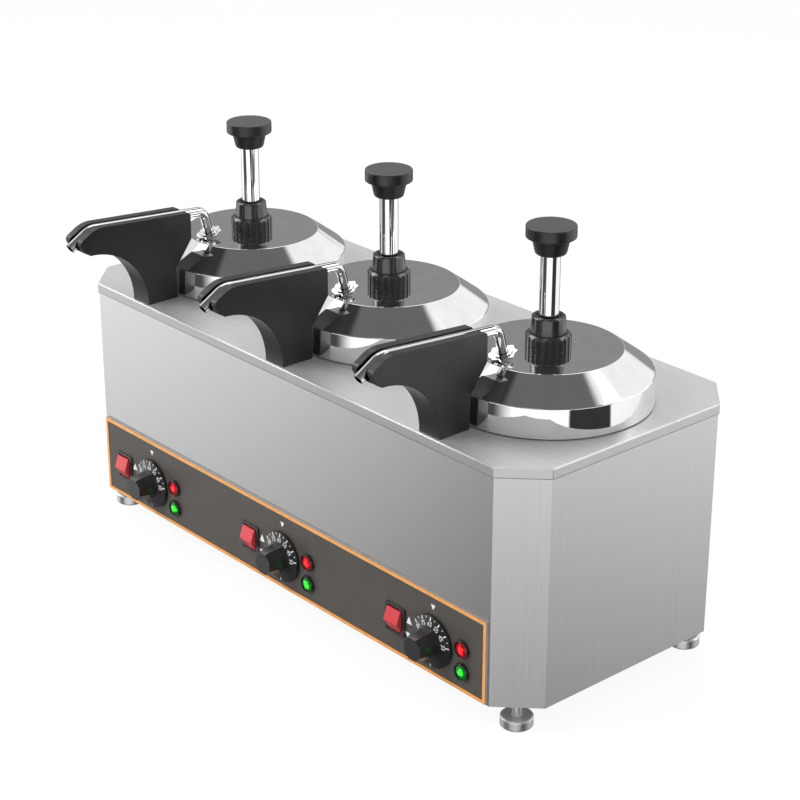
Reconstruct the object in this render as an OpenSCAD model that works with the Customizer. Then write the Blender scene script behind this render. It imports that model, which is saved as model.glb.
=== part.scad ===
// Countertop warmer for hot toppings: three heated wells, each with a lift-out pot,
// a lid that carries a push pump, and a heated spout block on the front edge.
// Sizes are in millimetres. X runs along the body from its middle, Y runs back from the
// front face and Z rises from the body's bottom edge, until the whole is set on its origin:
// the middle of its outer box, on the surface that the feet stand on.

/* [Body] */
// Length of the body over its end faces
body_len = 568; // [556:1:620]
// Depth of the body from front face to back face
body_depth = 240; // [232:1:280]
// Height of the body from its bottom edge to the top plate
body_h = 200; // [190:1:240]
// Cut at each vertical corner, along either face
corner_cut = 30; // [20:1:36]
// Thickness of the casing and top sheet
sheet_t = 1; // [0.8:0.1:1.5]
// Width of the casing's turned-in bottom flange
flange_w = 14; // [10:1:18]
// Height of the folded lip round the top plate
lip_h = 8.4; // [6:0.2:14]
// Thickness of the folded lip
lip_t = 0.8; // [0.6:0.1:1.2]
// Gap between the lip and the casing
lip_gap = 0.1; // [0.05:0.05:0.3]
// Bevel along the folded top edge
edge_bevel = 0.6; // [0.3:0.1:0.7]

/* [Base and feet] */
// Thickness of the base plate
base_t = 1.2; // [1:0.1:2]
// Height of the base plate's turned-up rim
base_rim_h = 8; // [5:1:14]
// Gap all round between the base plate and the casing
base_gap = 0.3; // [0.2:0.1:0.6]
// Diameter of a foot's disc
foot_d = 26; // [20:1:34]
// Thickness of a foot's disc
foot_h = 9; // [6:0.5:14]
// Height of the body's bottom edge above the foot's disc
foot_gap = 14; // [8:1:24]
// Distance of a foot's axis from the end face and from the front or back face
foot_inset = 25; // [23:0.5:29]
// Diameter of a foot's stud
stud_d = 8; // [6:1:8]
// Length of stud that the base plate's boss holds
stud_grip = 10; // [8:1:16]
// Diameter of the threaded boss for a stud
boss_d = 14; // [12:1:16]
// Chamfer round a foot's disc
foot_chamfer = 0.9; // [0.4:0.1:1.5]
// Width of a vent slot in the base plate
vent_w = 5; // [3:0.5:7]
// Length of a vent slot
vent_len = 90; // [50:5:110]
// Spacing of the vent slots
vent_pitch = 14; // [12:1:18]
// Number of vent slots under each well
vent_count = 7; // [3:1:8]

/* [Wells and pots] */
// Distance of the wells' axes behind the front face
station_y = 120; // [116:0.5:140]
// Distance between neighbouring wells
station_pitch = 186.5; // [180:0.5:190]
// Outer diameter of a pot
pot_d = 132; // [116:1:133]
// Wall of a pot
pot_wall = 1; // [0.8:0.1:1.2]
// Radius of the pot's bottom corner
pot_corner_r = 12; // [6:1:20]
// Width of the pot's rim beyond its wall
rim_w = 4; // [3.5:0.1:4.5]
// Thickness of the pot's rim
rim_t = 2; // [1.5:0.1:2.6]
// Gap between the pot and the hole in the top plate
pot_clear = 1.7; // [1:0.1:2]
// Wall of a well
well_wall = 1.2; // [1:0.1:2]
// Gap between the pot and the well
well_clear = 2; // [1.8:0.1:2.5]
// Width of the flange that hangs the well under the top plate
well_flange_w = 6; // [4:0.5:8]
// Height of the well's floor above the body's bottom edge
well_floor_h = 30; // [24:1:44]
// Gap left between resting faces of pieces that lift apart
seat_gap = 0.2; // [0.1:0.05:0.3]
// Gap between the pot's bottom and the well's floor
pot_floor_gap = 0.6; // [0.4:0.1:2]

/* [Heaters and thermostats] */
// Height of a band heater
band_h = 45; // [30:1:60]
// Thickness of a band heater
band_t = 2.4; // [1.6:0.1:3]
// Gap between a band heater and its well
band_gap = 0.1; // [0.05:0.05:0.3]
// Height of the band heater's lower edge above the well's floor
band_up = 28; // [20:1:40]
// Angle left open where the band is clamped
band_open = 9; // [6:1:20]
// Diameter of a thermostat's case
stat_d = 33; // [28:1:36]
// Depth of a thermostat's case
stat_depth = 16; // [12:1:18]
// Diameter of the diaphragm capsule behind the case
capsule_d = 22; // [16:1:26]
// Thickness of the diaphragm capsule
capsule_t = 4; // [3:0.5:5]
// Diameter of a sensor bulb
bulb_d = 6; // [4:0.5:7]
// Length of a sensor bulb
bulb_len = 50; // [30:1:60]
// Diameter of the capillary between a thermostat and its bulb
capillary_d = 1.6; // [1:0.1:2]

/* [Lids] */
// Diameter of a lid at the bottom of its band
lid_d = 168; // [167.5:0.5:172]
// Height of the lid's band
lid_band_h = 23.5; // [14:0.5:26]
// How far the band leans in over its height
lid_lean = 1; // [0.4:0.1:1.2]
// Diameter of the lid's flat top
lid_top_d = 117; // [112:1:124]
// Height of the lid from its bottom edge to its flat top
lid_h = 41.2; // [36:0.2:46]
// Gap between the lid's bottom edge and the top plate
lid_lift = 1; // [0.6:0.1:1.5]
// Thickness of the lid's metal
lid_wall = 1; // [0.8:0.1:1.2]
// Rounding of the lid's edges
lid_round = 1.6; // [1.2:0.1:3]
// Depth of the dished ring that centres the lid in the pot
spigot_h = 3; // [2:0.5:5]
// Gap between that ring and the pot
spigot_gap = 0.6; // [0.4:0.1:1]

/* [Pump] */
// Diameter of the ribbed collar nut
nut_d = 36; // [35:0.5:40]
// Height of the ribbed collar nut
nut_h = 12; // [10:0.5:14]
// Number of grooves round the collar nut
nut_grooves = 22; // [16:1:26]
// Width of a groove round the collar nut
groove_w = 2.4; // [1.5:0.1:3]
// Height of the bevel on top of the collar nut
nut_bevel = 2.2; // [1:0.1:3]
// Diameter of the threaded sleeve through the lid
sleeve_d = 30; // [29:0.5:31]
// Diameter of the guide bush where it leaves the nut
bush_d = 28; // [26.5:0.1:28.4]
// Diameter of the guide bush at its top
bush_top_d = 26.4; // [22:0.1:26.4]
// Height of the guide bush above the nut
bush_h = 13.4; // [9:0.2:18]
// Diameter of the recess round the rod on top of the bush
bush_recess_d = 20; // [18:0.5:22]
// Depth of that recess
bush_recess_h = 1.8; // [1:0.1:3]
// Diameter of the plunger rod
rod_d = 15.6; // [14:0.2:16]
// Length of rod that shows under the knob
rod_show = 49.4; // [47:0.2:60]
// Running gap round the rod and round the piston
running_gap = 0.05; // [0.03:0.01:0.08]
// Travel of the plunger
stroke = 45; // [30:1:46]
// Diameter of the push knob
knob_d = 39.2; // [34:0.2:46]
// Height of the push knob
knob_h = 23; // [20:0.5:28]
// Height of the knob's rim
knob_rim_h = 9.6; // [7:0.2:11]
// Diameter of the knob's neck under its rim
knob_neck_d = 29.8; // [26:0.2:32]
// Diameter of the knob's neck before its rounded foot
knob_taper_d = 25; // [23:0.2:26]
// Depth of the rod's seat in the knob
knob_seat = 12; // [8:1:15]
// Outer diameter of the pump's cylinder
cylinder_d = 34; // [33:0.5:36]
// Bore of the pump's cylinder
cylinder_bore = 30.4; // [29:0.2:31]
// Length of the pump's cylinder under its flange
cylinder_len = 109; // [100:1:115]
// Thickness of the flange under the lid
pump_flange_t = 2; // [1.5:0.1:3]
// Thickness of the cylinder's floor and top shoulder
cylinder_floor_t = 3.2; // [2.5:0.1:4]
// Diameter of the suction stem under the cylinder
stem_d = 24; // [20:1:26]
// Diameter of the strainer foot
strainer_d = 28; // [26:1:32]
// Height of the strainer foot
strainer_h = 26; // [20:1:32]
// Height of the strainer above the pot's floor
strainer_up = 4.3; // [2:0.1:8]
// Diameter of the riser pipe from the pump's stem to the lid
riser_d = 10; // [9.4:0.1:10.6]
// Bore of the riser and of the spout tube
pipe_bore = 6.6; // [5:0.1:7]
// Distance of the riser from the pump's axis
riser_offset = 43; // [38:0.5:44]
// Thickness of the piston
piston_h = 12; // [8:0.5:16]
// Wire of the return spring
spring_wire_d = 1.8; // [1.4:0.1:2.2]
// Mean diameter of the return spring
spring_mean_d = 23; // [21:0.5:25]
// Number of curls of the return spring
spring_curls = 11; // [7:1:12]

/* [Spout] */
// Distance of the spout block and its tube to the left of their well
spout_x = 4.2; // [0:0.1:6]
// Outer diameter of the spout tube
tube_d = 8.5; // [7.6:0.1:9]
// Lean of the tube's rising leg towards the front
leg_lean = 16; // [8:1:20]
// Rise of the tube's long run towards the front
run_rise = 4.2; // [2:0.2:8]
// Droop of the nose
nose_droop = 31; // [22:1:38]
// Height of the run's axis above the top plate, at the back of the block
run_back_h = 69.1; // [66:0.1:74]
// How far the bend at the nose lies in front of the front face
knee_reach = 46; // [40:0.5:52]
// Length of the nose from its bend to the mouth
nose_len = 24; // [21:0.5:28]
// Radius of the bend at the nose
knee_r = 22; // [14:1:26]
// Radius of the rear bend
rear_bend_r = 9; // [8:0.5:11]
// Height above the lid where the riser's axis meets the leaning leg's
riser_bend_up = 1.2; // [1:0.1:3]
// Radius of the riser's bend above the lid
foot_bend_r = 7; // [6:0.5:9]
// Width of the spout block
block_w = 23; // [18:0.5:26]
// Gap between the tube and the slot's walls and floor
slot_gap = 0.3; // [0.2:0.05:0.5]
// Distance of the block's foot from the front face
block_front = 2; // [2:0.5:5]
// Depth of the block's foot
block_foot = 30; // [26:0.5:30.5]
// Distance of the block's head from the front face
block_back = 49; // [44:0.5:50]
// Height of the block's upright back face
back_upright_h = 27; // [24.5:0.5:30]
// Height where the sloping back face meets the head
back_slope_h = 50; // [46:0.5:54]
// Radius of the arch under the nose
arch_r = 56; // [50:0.5:57]
// Height of the arch's centre above the top plate
arch_up = 1.5; // [0:0.1:3]
// Depth of the nose under the tube's axis
nose_below = 9.5; // [8.5:0.1:12]
// Length of tube that stands out of the nose
nose_show = 5; // [2:0.5:8]
// Rounding of the nose's upper corner
nose_round = 4; // [2:0.5:4.2]
// Rounding of the nose's lower corner
chin_round = 3.4; // [1:0.2:5]
// Rounding of the block's upper back corner
head_round = 2.5; // [1:0.5:4]
// Diameter of the relief round the tube at the nose
relief_d = 13; // [11:0.5:14]
// Depth of that relief
relief_depth = 5; // [2:0.5:7]
// Diameter of the cartridge heater in the block
cartridge_d = 8; // [6:0.5:9]
// Length of the cartridge heater
cartridge_len = 52; // [40:1:56]
// Diameter of the screws that hold the block
block_screw_d = 4; // [3:0.5:4]
// Grip of those screws in the block
block_screw_grip = 12; // [8:1:16]
// Diameter of the star nut over its lobes
star_d = 22.6; // [20:0.2:24]
// Number of lobes of the star nut
star_lobes = 8; // [6:1:10]
// Thickness of the star nut's lobes
star_h = 1.4; // [1.2:0.1:2.5]
// Diameter of the star nut's collar
star_collar_d = 15; // [13:0.2:17]
// Height of the collar above the lobes
star_collar_h = 0.8; // [0.5:0.1:3]

/* [Control panel] */
// Gap between the panel's border and the end of the flat front face
panel_margin = 2.2; // [1:0.1:6]
// Height of the border's lower edge
panel_low = 1.4; // [1:0.1:6]
// Height of the panel with its border
panel_h = 70.6; // [66:0.2:90]
// Thickness of the panel
panel_t = 2; // [1.5:0.1:3]
// Width of the border
border_w = 3; // [2:0.1:5]
// Thickness of the border
border_t = 2.4; // [2.4:0.1:4]
// Height of the dials above the body's bottom edge
control_h = 31.5; // [30:0.5:38]
// Distance of the dial to the right of its well
dial_x = 6; // [2:0.5:10]
// Diameter of the dial's skirt
dial_d = 44.4; // [38:0.2:46]
// Thickness of the dial's skirt
dial_skirt_h = 4.2; // [3:0.1:6]
// Diameter of the dial's grip over its corners, at the panel
grip_d = 26.8; // [22:0.2:30]
// Diameter over the corners at the grip's end
grip_tip_d = 20.2; // [16:0.2:22]
// Length of the dial's grip
grip_h = 16.8; // [12:0.2:22]
// Gap between the dial and the panel
dial_gap = 0.4; // [0.3:0.1:1]
// Diameter of the dial's spindle
spindle_d = 6; // [5:0.5:7]
// Distance of the switch to the left of its well
switch_x = 37.3; // [36:0.1:42]
// Height of the switch above the dial's middle
switch_up = 0.9; // [0:0.1:2]
// Width of the switch's bezel
bezel_w = 23; // [21:0.5:24]
// Height of the switch's bezel
bezel_h = 25; // [24.6:0.2:27]
// Thickness of the switch's bezel
bezel_t = 1.5; // [1.2:0.1:3]
// Width of the rocker
rocker_w = 15.5; // [12:0.1:17]
// Height of the rocker
rocker_h = 20.5; // [18:0.1:20.8]
// How far the rocker's ridge stands out of the bezel
ridge_h = 5; // [3:0.1:6]
// Depth of the rocker's pivot behind the bezel's front
pivot_depth = 5; // [4:0.1:6]
// Tilt of the rocker to either side
rocker_tilt = 6; // [3:0.5:7]
// Distance of the lamps to the right of their well
lamp_x = 39.9; // [38:0.1:42]
// Height of the red lamp above the dial's middle
lamp_up = 7.3; // [7:0.1:8.4]
// Distance between the red and the green lamp
lamp_pitch = 19.7; // [17:0.1:24]
// Diameter of a lamp's bezel
lamp_d = 15; // [13:0.2:16]
// Height of a lamp's bezel
lamp_h = 3; // [2:0.1:4]
// Diameter of a lamp's lens
lens_d = 11.6; // [8:0.2:12]

/* [Rear cable entry] */
// Distance of the cable gland from the right end face
gland_in = 48; // [44:1:56]
// Height of the cable gland
gland_up = 34; // [26:1:60]
// Width of the gland's hexagons across flats
gland_flats = 22; // [20:1:24]
// Thread diameter of the gland
gland_thread_d = 16; // [14:1:17]
// Bore of the gland
gland_bore = 8.4; // [6:0.2:10]
// Length of the gland outside the casing
gland_out = 18; // [14:1:24]

/* [Hidden] */
STATIONS = ["left", "middle", "right"];
SHARED_PARTS = ["casing", "top_plate", "base_plate", "control_panel", "panel_border",
    "levelling_feet", "case_screws", "cable_gland", "terminal_block", "band_heaters",
    "spout_heaters", "spout_block_screws", "thermostats", "switch_frames", "lamp_bezels",
    "red_lamp_lenses", "green_lamp_lenses"];
STATION_PARTS = ["well", "spout_block", "pot", "lid", "pump_body", "collar_nut", "guide_bush",
    "spout_tube", "star_nut", "plunger_spring", "plunger_rod", "push_knob", "dial", "rocker"];
$fn = 96;

// Colours
steel_rgb = [0.74, 0.74, 0.75];
chrome_rgb = [0.86, 0.86, 0.88];
black_rgb = [0.13, 0.13, 0.13];
block_rgb = [0.25, 0.25, 0.25];
panel_rgb = [0.36, 0.34, 0.32];
orange_rgb = [0.94, 0.62, 0.3];
red_rgb = [0.9, 0.2, 0.22];
green_rgb = [0.1, 0.8, 0.2];
brass_rgb = [0.8, 0.66, 0.36];
cream_rgb = [0.85, 0.82, 0.72];

// Overrun of every cut, and the play of a screw in its hole
cut_over = 1;
cut_play = 0.2;
screw_play = 0.1;
stud_play = 0.3;

// A bend is a hair thicker than the straight legs that run into it
bend_swell = 0.02;
bend_lap = 0.1;

// Stations
station_x = [-station_pitch, 0, station_pitch];
top_z = body_h;
floor_z = foot_gap + foot_h;

// Pot and well
pot_r = pot_d / 2;
opening_r = pot_r + pot_clear;
well_r = pot_r + well_clear;
well_out_r = well_r + well_wall;
well_floor_z = well_floor_h + well_wall;
pot_z = well_floor_z + pot_floor_gap;
rim_r = pot_r + rim_w;
rim_z = top_z + seat_gap;
rim_chamfer = 0.4 * rim_t;

// Lid
lid_r = lid_d / 2;
lid_z = top_z + lid_lift;
lid_top_r = lid_top_d / 2;
lid_top_z = lid_z + lid_h;
lid_under_z = lid_top_z - lid_wall;
ledge_z = rim_z + rim_t + seat_gap;
spigot_r = pot_r - pot_wall - spigot_gap;
spigot_t = 0.8 * lid_wall;

// Pump, from the lid's flat top
sleeve_r = sleeve_d / 2;
thread_gap = 0.1;
nut_top_z = lid_top_z + nut_h;
nut_web_t = 1;
bush_flange_t = 0.9;
bush_seat_z = nut_top_z - nut_web_t - bush_flange_t - thread_gap;
bush_top_z = nut_top_z + bush_h;
bush_chamfer = 0.8;
bush_spigot_h = 6;
bush_spigot_gap = 0.1;
sleeve_bore_r = 11;
rod_r = rod_d / 2;
knob_z = bush_top_z + rod_show;
knob_top_z = knob_z + knob_h;
knob_edge = 0.9;
knob_foot_r = rod_r + 2.2;
knob_foot_h = 5;
knob_neck_step = 0.6;
pump_flange_z = lid_under_z - pump_flange_t;
pump_flange_r = sleeve_r + 4;
cylinder_r = cylinder_d / 2;
cylinder_bore_r = cylinder_bore / 2;
cylinder_z = pump_flange_z - cylinder_len;
bore_top_z = pump_flange_z - cylinder_floor_t;
bore_z = cylinder_z + cylinder_floor_t;
piston_top_z = bore_top_z - seat_gap;
piston_z = piston_top_z - piston_h;
seal_groove_h = 3;
seal_groove_depth = 1.6;
stem_r = stem_d / 2;
strainer_z = pot_z + pot_wall + strainer_up;
strainer_top_z = strainer_z + strainer_h;
strainer_wall = 2;
strainer_slot_w = 7;
strainer_slot_h = 9;
strainer_slots = 4;
riser_r = riser_d / 2;
pipe_bore_r = pipe_bore / 2;
riser_y = station_y - riser_offset;
outlet_z = strainer_top_z + riser_r + 8;
riser_bend = [riser_y, lid_top_z + riser_bend_up];
leg_dir = [-sin(leg_lean), cos(leg_lean)];

// Star nut, whose axis is the leaning leg's and whose lobes clear the lid
star_r = star_d / 2;
star_gap = 0.3;
function star_seat(r) = (star_gap - riser_bend_up + r * sin(leg_lean)) / cos(leg_lean);
star_top = star_seat(star_r) + star_h;
star_web = 0.8;
nipple_len = star_top - star_web;

// Spout tube, as points [y, z] of its axis
tube_r = tube_d / 2;
run_dir = [-cos(run_rise), sin(run_rise)];
nose_dir = [-cos(nose_droop), -sin(nose_droop)];
run_up = [sin(run_rise), cos(run_rise)];
nose_up = [-sin(nose_droop), cos(nose_droop)];
run_start = [block_back, top_z + run_back_h];
tube_foot = riser_bend + (nipple_len + seat_gap) * leg_dir;
tube_rear = meet(riser_bend, leg_dir, run_start, run_dir);
tube_knee = [-knee_reach, run_start.y + (block_back + knee_reach) * tan(run_rise)];
tube_mouth = tube_knee + nose_len * nose_dir;
tube_path = [tube_foot, tube_rear, tube_knee, tube_mouth];
tube_radii = [rear_bend_r, knee_r];

// Spout block
knee_tangent = knee_r * tan((run_rise + nose_droop) / 2);
knee_centre = tube_knee - knee_tangent * run_dir - knee_r * run_up;
nose_end = tube_mouth - nose_show * nose_dir;
slot_w = tube_d + 2 * slot_gap;
slot_below = tube_r + slot_gap;
arch_centre = [block_front - arch_r, top_z + arch_up];
arc_steps = 10;
screw_front_y = block_front + 0.18 * block_foot;
screw_back_y = block_front + 0.82 * block_foot;
cartridge_y = block_front + 0.5 * block_foot;
cartridge_gap = 0.1;
cartridge_tail = 8;
block_screw_head_d = 1.75 * block_screw_d;
block_screw_head_h = 0.6 * block_screw_d;

// Outline of the star nut
star_groove = 0.15 * star_r;
star_steps = 12;
star_outline = [for (i = [0:star_lobes * star_steps - 1]) let (a = 360 * i / (star_lobes * star_steps))
    (star_r - star_groove * (1 - cos(star_lobes * a)) / 2) * [cos(a), sin(a)]];
star_collar_r = star_collar_d / 2;
star_tube_gap = 0.2;

// Return spring
spring_r = spring_mean_d / 2;
spring_wire_r = spring_wire_d / 2;
spring_seat = 0.1;
spring_low = bore_z + spring_seat + spring_wire_r;
spring_high = piston_z - spring_seat - spring_wire_r;
spring_end_pitch = spring_wire_d + 0.6;
spring_pitch = (spring_high - spring_low - 2 * spring_end_pitch) / (spring_curls - 2);
spring_rings = 8;
spring_sides = 6;

// Front controls
front_in_y = sheet_t;
panel_front = -panel_t;
panel_len = body_len - 2 * corner_cut - 2 * panel_margin;
panel_gap = 0.1;
switch_z = control_h + switch_up;
lamp_r = lamp_d / 2;
lamp_body_r = 0.86 * lamp_r;
lamp_body_depth = 16;
lamp_hole_r = lamp_body_r + screw_play;
lens_r = lens_d / 2;
lens_gap = 0.05;
spindle_r = spindle_d / 2;
spindle_hole_r = spindle_r + 1;
spindle_grip = 9;
switch_wall = 0.9;
rocker_side_gap = 0.25;
rocker_end_gap = 0.6;
switch_in_w = rocker_w + 2 * rocker_side_gap;
switch_in_h = rocker_h + 2 * rocker_end_gap;
switch_box_w = switch_in_w + 2 * switch_wall;
switch_box_h = switch_in_h + 2 * switch_wall;
switch_depth = 20;
switch_blade_w = 4.8;
switch_blade_t = 0.8;
switch_blade_len = 7;
switch_blade_gap = 9;
pin_r = 1.4;
pin_len = rocker_side_gap + 0.8 * switch_wall;
bezel_round = 1.4;
stat_plate_w = 42;
stat_plate_h = 26;
stat_plate_t = 1;
stat_back_y = front_in_y + stat_plate_t + stat_depth + capsule_t;
bulb_gap = 0.2;
bulb_y = station_y - well_out_r - bulb_gap - bulb_d / 2;
bulb_z = well_floor_z + band_up + band_h + 8;
capillary_y = stat_back_y + 4;
capillary_low = control_h + capsule_d / 4;

// Case screws, base plate and cable entry
case_screw_d = 3;
case_screw_head_d = 6;
case_screw_head_h = 1.6;
case_screw_len = 5;
case_screw_in = 0.55 * flange_w;
case_screw_shares = [-0.8, -0.4, 0, 0.4, 0.8];
gland_x = body_len / 2 - gland_in;
gland_thread_r = gland_thread_d / 2;
gland_bore_r = gland_bore / 2;
gland_hex_r = gland_flats / sqrt(3);
gland_hex_t = 5;
gland_dome_r = 0.47 * gland_flats;
gland_dome_top_share = 0.62;
gland_inside = 7;
locknut_t = 4;
block_len = 52;
block_deep = 20;
block_tall = 9;
block_poles = 5;
block_wall = 1.6;
block_wall_h = 7;
pole_screw_r = 2.4;
pole_screw_h = 3;
block_beside_gland = 49.5;
block_before_rim = 14;
block_x = gland_x - block_beside_gland;
block_y = body_depth - sheet_t - base_gap - base_t - block_before_rim;

// Outermost points along Y, which set the origin
front_most_y = tube_mouth.x - tube_r * sin(nose_droop);
back_most_y = body_depth + gland_out;
middle_y = (front_most_y + back_most_y) / 2;

// Where two lines meet, each given by a point and a direction
function meet(p, d, q, e) =
    p + d * ((q - p).x * e.y - (q - p).y * e.x) / (d.x * e.y - d.y * e.x);

// Points of an arc round c, from angle a to angle b
function arc(c, r, a, b, steps = arc_steps) =
    [for (i = [0:steps]) let (t = a + (b - a) * i / steps) c + r * [cos(t), sin(t)]];

// The body's plan, drawn in by the same distance on all eight sides
function body_plan(inset) =
    let (a = body_len / 2 - inset, b = body_depth - inset, c = corner_cut - inset * (2 - sqrt(2)))
    [[-a + c, inset], [a - c, inset], [a, inset + c], [a, b - c],
     [a - c, b], [-a + c, b], [-a, b - c], [-a, inset + c]];

// A rectangle with rounded corners, as points
function round_rect(w, h, r) =
    concat(arc([w / 2 - r, h / 2 - r], r, 0, 90), arc([-w / 2 + r, h / 2 - r], r, 90, 180),
           arc([-w / 2 + r, -h / 2 + r], r, 180, 270), arc([w / 2 - r, -h / 2 + r], r, 270, 360));

// Height of the top of the block's run at a distance from the front face
function run_top(y) = run_start.y + (block_back - y) * tan(run_rise) + tube_r / cos(run_rise);

// A line beside the tube's axis: out to the top for d > 0, down to the slot's floor for d < 0
function beside_tube(d, back, front) =
    concat([[back, run_start.y + (block_back - back) * tan(run_rise) + d / cos(run_rise)]],
           arc(knee_centre, knee_r + d, 90 - run_rise, 90 + nose_droop),
           [front + d * nose_up]);

// Turns and places
module set_on_origin() translate([0, -middle_y, floor_z]) children();
module at_station(s) set_on_origin() translate([station_x[s], 0, 0]) children();
module at_well(z = 0) translate([0, station_y, z]) children();
module facing_front(x, y, z) translate([x, y, z]) rotate([90, 0, 0]) children();
module side_profile(w) rotate([90, 0, 90]) linear_extrude(w, center = true) children();
module plan(z, h, inset) translate([0, 0, z]) linear_extrude(h) polygon(body_plan(inset));
module each_station() for (x = station_x) translate([x, 0, 0]) children();
module each_foot()
    for (x = [-1, 1], y = [foot_inset, body_depth - foot_inset])
        translate([x * (body_len / 2 - foot_inset), y, 0]) children();
module each_case_screw() {
    for (share = case_screw_shares, y = [case_screw_in, body_depth - case_screw_in])
        translate([share * (body_len / 2 - corner_cut), y, 0]) children();
    for (x = [-1, 1])
        translate([x * (body_len / 2 - case_screw_in), body_depth / 2, 0]) children();
}
module at_spout(y = 0, z = 0) translate([-spout_x, y, z]) children();
module on_leg() at_spout(riser_bend.x, riser_bend.y) rotate([leg_lean, 0, 0]) children();
module each_block_screw(z) for (y = [screw_front_y, screw_back_y]) translate([0, y, z]) children();
module each_lamp(y) {
    for (z = [control_h + lamp_up, control_h + lamp_up - lamp_pitch])
        facing_front(lamp_x, y, z) children();
}

// A round rod bent in the plane of a station, through points [y, z]
function heading(p, q) = (q - p) / norm(q - p);
function turn_of(d, e) = atan2(d.x * e.y - d.y * e.x, d * e);
module ring(out_r, in_r) difference() {
    circle(out_r);
    if (in_r > 0) circle(in_r);
}
module bent_rod(path, radii, r, bore = 0) {
    last = len(path) - 1;
    turns = [for (i = [1:last - 1])
        turn_of(heading(path[i - 1], path[i]), heading(path[i], path[i + 1]))];
    backs = [for (i = [1:last - 1]) radii[i - 1] * tan(abs(turns[i - 1]) / 2) - bend_lap];
    for (i = [0:last - 1]) {
        d = heading(path[i], path[i + 1]);
        from = path[i] + d * (i == 0 ? 0 : backs[i - 1]);
        to = path[i + 1] - d * (i == last - 1 ? 0 : backs[i]);
        translate([0, from.x, from.y]) rotate([atan2(-d.x, d.y), 0, 0])
            linear_extrude(norm(to - from)) ring(r, bore);
    }
    for (i = [1:last - 1]) {
        d = heading(path[i - 1], path[i]);
        side = sign(turns[i - 1]);
        tangent = path[i] - d * (backs[i - 1] + bend_lap);
        centre = tangent + side * radii[i - 1] * [-d.y, d.x];
        first = atan2(tangent.y - centre.y, tangent.x - centre.x);
        translate([0, centre.x, centre.y]) rotate([90, 0, 90])
            rotate([0, 0, side > 0 ? first : first + turns[i - 1]])
                rotate_extrude(angle = abs(turns[i - 1])) translate([radii[i - 1], 0])
                    ring(r + bend_swell, bore - bend_swell);
    }
}

// Holes that the panel and the casing's front share
module control_holes(depth, y) {
    facing_front(dial_x, y, control_h) cylinder(h = depth, r = spindle_hole_r);
    each_lamp(y) cylinder(h = depth, r = lamp_hole_r);
    facing_front(-switch_x, y, switch_z)
        linear_extrude(depth) square([switch_box_w + cut_play, switch_box_h + cut_play], center = true);
}

// Body
module casing() color(steel_rgb) difference() {
    plan(0, top_z - sheet_t, 0);
    plan(sheet_t, top_z, sheet_t);
    plan(-cut_over, top_z, flange_w);
    each_station() control_holes(sheet_t + 2 * cut_over, sheet_t + cut_over);
    translate([gland_x, body_depth + cut_over, gland_up]) rotate([90, 0, 0])
        cylinder(h = sheet_t + 2 * cut_over, r = gland_thread_r + screw_play);
    each_case_screw() translate([0, 0, -cut_over])
        cylinder(h = sheet_t + 2 * cut_over, d = case_screw_d + 2 * screw_play, $fn = 32);
    each_foot() translate([0, 0, -cut_over]) cylinder(h = sheet_t + 2 * cut_over, d = stud_d + 2 * stud_play);
}

module top_plate() color(steel_rgb) difference() {
    union() {
        plan(top_z - lip_h, lip_h - edge_bevel, -lip_gap - lip_t);
        hull() {
            plan(top_z - 2 * edge_bevel, edge_bevel, -lip_gap - lip_t);
            plan(top_z - 2 * edge_bevel, 2 * edge_bevel, edge_bevel - lip_gap - lip_t);
        }
    }
    plan(top_z - lip_h - cut_over, lip_h + cut_over - sheet_t, -lip_gap);
    each_station() {
        at_well(top_z - sheet_t - cut_over) cylinder(h = sheet_t + 2 * cut_over, r = opening_r);
        at_spout(cartridge_y, top_z - sheet_t - cut_over)
            cylinder(h = sheet_t + 2 * cut_over, d = cartridge_d + 2 * cartridge_gap);
        at_spout() each_block_screw(top_z - sheet_t - cut_over)
            cylinder(h = sheet_t + 2 * cut_over, d = block_screw_d + 2 * screw_play, $fn = 32);
    }
}

module base_plate() {
    inset = sheet_t + base_gap;
    color(steel_rgb) difference() {
        union() {
            plan(sheet_t, base_rim_h, inset);
            each_foot() translate([0, 0, sheet_t]) cylinder(h = stud_grip, d = boss_d);
        }
        difference() {
            plan(sheet_t + base_t, base_rim_h, inset + base_t);
            each_foot() cylinder(h = sheet_t + stud_grip + cut_over, d = boss_d);
        }
        each_foot() cylinder(h = sheet_t + stud_grip + cut_over, d = stud_d + 2 * thread_gap);
        each_case_screw() cylinder(h = sheet_t + base_t + cut_over, d = case_screw_d, $fn = 32);
        each_station() for (i = [0:vent_count - 1])
            at_well() translate([-vent_len / 2, (i - (vent_count - 1) / 2) * vent_pitch - vent_w / 2, 0])
                cube([vent_len, vent_w, sheet_t + base_t + cut_over]);
    }
}

module levelling_feet() color(chrome_rgb) each_foot() translate([0, 0, -floor_z]) {
    rotate_extrude() polygon([[0, 0], [foot_d / 2 - foot_chamfer, 0], [foot_d / 2, foot_chamfer],
        [foot_d / 2, foot_h - foot_chamfer], [foot_d / 2 - foot_chamfer, foot_h],
        [stud_d / 2, foot_h], [stud_d / 2, floor_z + sheet_t + stud_grip], [0, floor_z + sheet_t + stud_grip]]);
}

module case_screws() color(steel_rgb) each_case_screw() {
    translate([0, 0, -case_screw_head_h]) cylinder(h = case_screw_head_h, d = case_screw_head_d);
    translate([0, 0, -case_screw_head_h])
        cylinder(h = case_screw_head_h + case_screw_len, d = case_screw_d - screw_play);
}

// Front panel
module control_panel() color(panel_rgb) difference() {
    translate([0, 0, panel_low + panel_h / 2]) rotate([90, 0, 0])
        linear_extrude(panel_t)
            square([panel_len - 2 * (border_w + panel_gap), panel_h - 2 * (border_w + panel_gap)], center = true);
    each_station() control_holes(panel_t + 2 * cut_over, cut_over);
}

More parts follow.
